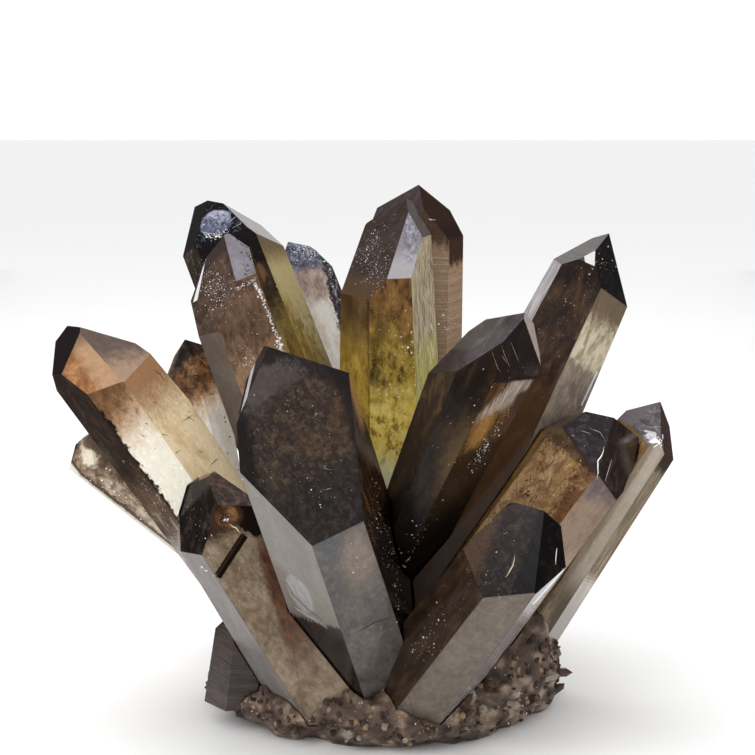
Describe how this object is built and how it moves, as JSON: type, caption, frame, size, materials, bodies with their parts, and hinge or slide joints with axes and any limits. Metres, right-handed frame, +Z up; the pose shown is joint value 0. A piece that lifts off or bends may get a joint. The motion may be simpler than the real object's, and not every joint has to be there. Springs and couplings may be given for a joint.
{
  "type": "smoky quartz crystal cluster",
  "caption": "Cluster of dark smoky quartz crystals fanning up and out from a flat-cut lump of matrix rock, to stand on a shelf or table.",
  "frame": {"origin": "middle of the bounding box, at the flat cut underside of the matrix", "axes": "+Z up; the cluster's show side faces -Y; +X is to the viewer's right"},
  "size_m": [0.1248, 0.0988, 0.1054],
  "materials": {
    "back_centre_crystal": "polished-looking natural quartz faces, smoky and see-through in part",
    "back_left_crystal": "polished-looking natural quartz faces, smoky and see-through in part",
    "back_low_crystal": "polished-looking natural quartz faces, smoky and see-through in part",
    "back_low_left_crystal": "polished-looking natural quartz faces, smoky and see-through in part",
    "back_right_crystal": "polished-looking natural quartz faces, smoky and see-through in part",
    "centre_pair": "polished-looking natural quartz faces, smoky and see-through in part",
    "front_crystal": "polished-looking natural quartz faces, smoky and see-through in part",
    "front_left_crystal": "polished-looking natural quartz faces, smoky and see-through in part",
    "front_right_crystal": "polished-looking natural quartz faces, smoky and see-through in part",
    "left_crystal": "polished-looking natural quartz faces, smoky and see-through in part",
    "left_lower_crystal": "polished-looking natural quartz faces, smoky and see-through in part",
    "left_small_crystal": "polished-looking natural quartz faces, smoky and see-through in part",
    "left_stub_crystal": "polished-looking natural quartz faces, smoky and see-through in part",
    "lower_right_crystal": "polished-looking natural quartz faces, smoky and see-through in part",
    "matrix": "rough brown rock with small quartz points",
    "pale_crystal": "polished-looking natural quartz faces, smoky and see-through in part",
    "right_far_crystal": "polished-looking natural quartz faces, smoky and see-through in part",
    "right_short_crystal": "polished-looking natural quartz faces, smoky and see-through in part",
    "right_tall_crystal": "polished-looking natural quartz faces, smoky and see-through in part",
    "tall_left_pair": "polished-looking natural quartz faces, smoky and see-through in part"
  },
  "bodies": {
    "root": {"back_centre_crystal": "back_centre_crystal", "back_left_crystal": "back_left_crystal", "back_low_crystal": "back_low_crystal", "back_low_left_crystal": "back_low_left_crystal", "back_right_crystal": "back_right_crystal", "centre_pair": "centre_pair", "front_crystal": "front_crystal", "front_left_crystal": "front_left_crystal", "front_right_crystal": "front_right_crystal", "left_crystal": "left_crystal", "left_lower_crystal": "left_lower_crystal", "left_small_crystal": "left_small_crystal", "left_stub_crystal": "left_stub_crystal", "lower_right_crystal": "lower_right_crystal", "matrix": "matrix", "pale_crystal": "pale_crystal", "right_far_crystal": "right_far_crystal", "right_short_crystal": "right_short_crystal", "right_tall_crystal": "right_tall_crystal", "tall_left_pair": "tall_left_pair"}
  },
  "joints": []
}
